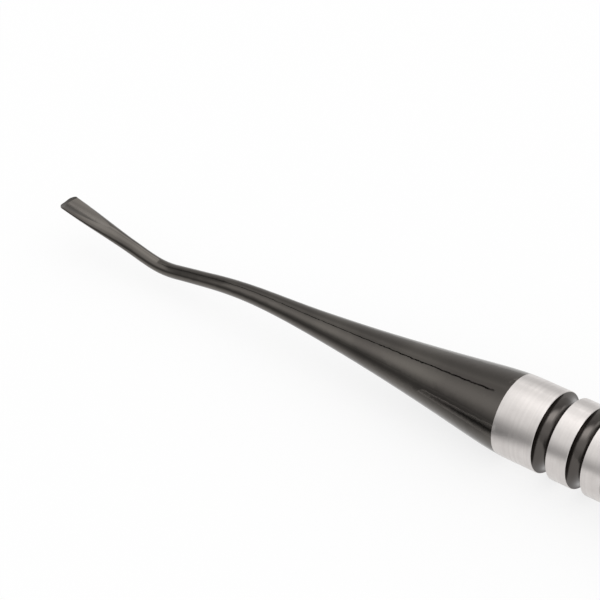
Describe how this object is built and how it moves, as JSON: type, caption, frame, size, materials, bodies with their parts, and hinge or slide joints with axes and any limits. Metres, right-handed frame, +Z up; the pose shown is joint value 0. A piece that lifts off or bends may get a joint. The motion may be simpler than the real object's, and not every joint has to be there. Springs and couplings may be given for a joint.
{
  "type": "dental elevator",
  "caption": "Straight-handled dental elevator: slim black spatula blade on a double-bent shank, flared cone, satin steel handle with black grip grooves.",
  "frame": {"origin": "on the resting surface, under the middle of the whole length", "axes": "+X along the handle from the blade to the rear end, +Z up, away from the surface, the blade's hollow facing up"},
  "size_m": [0.1686, 0.0094, 0.0095],
  "materials": {
    "black_coated_steel": "thin hard black coating on polished steel, semi-gloss",
    "satin_steel": "fine satin turned stainless steel, with the black coating in the grip grooves"
  },
  "bodies": {
    "root": {"working_end": "black_coated_steel", "handle": "satin_steel", "rear_plug": "satin_steel"}
  },
  "joints": []
}
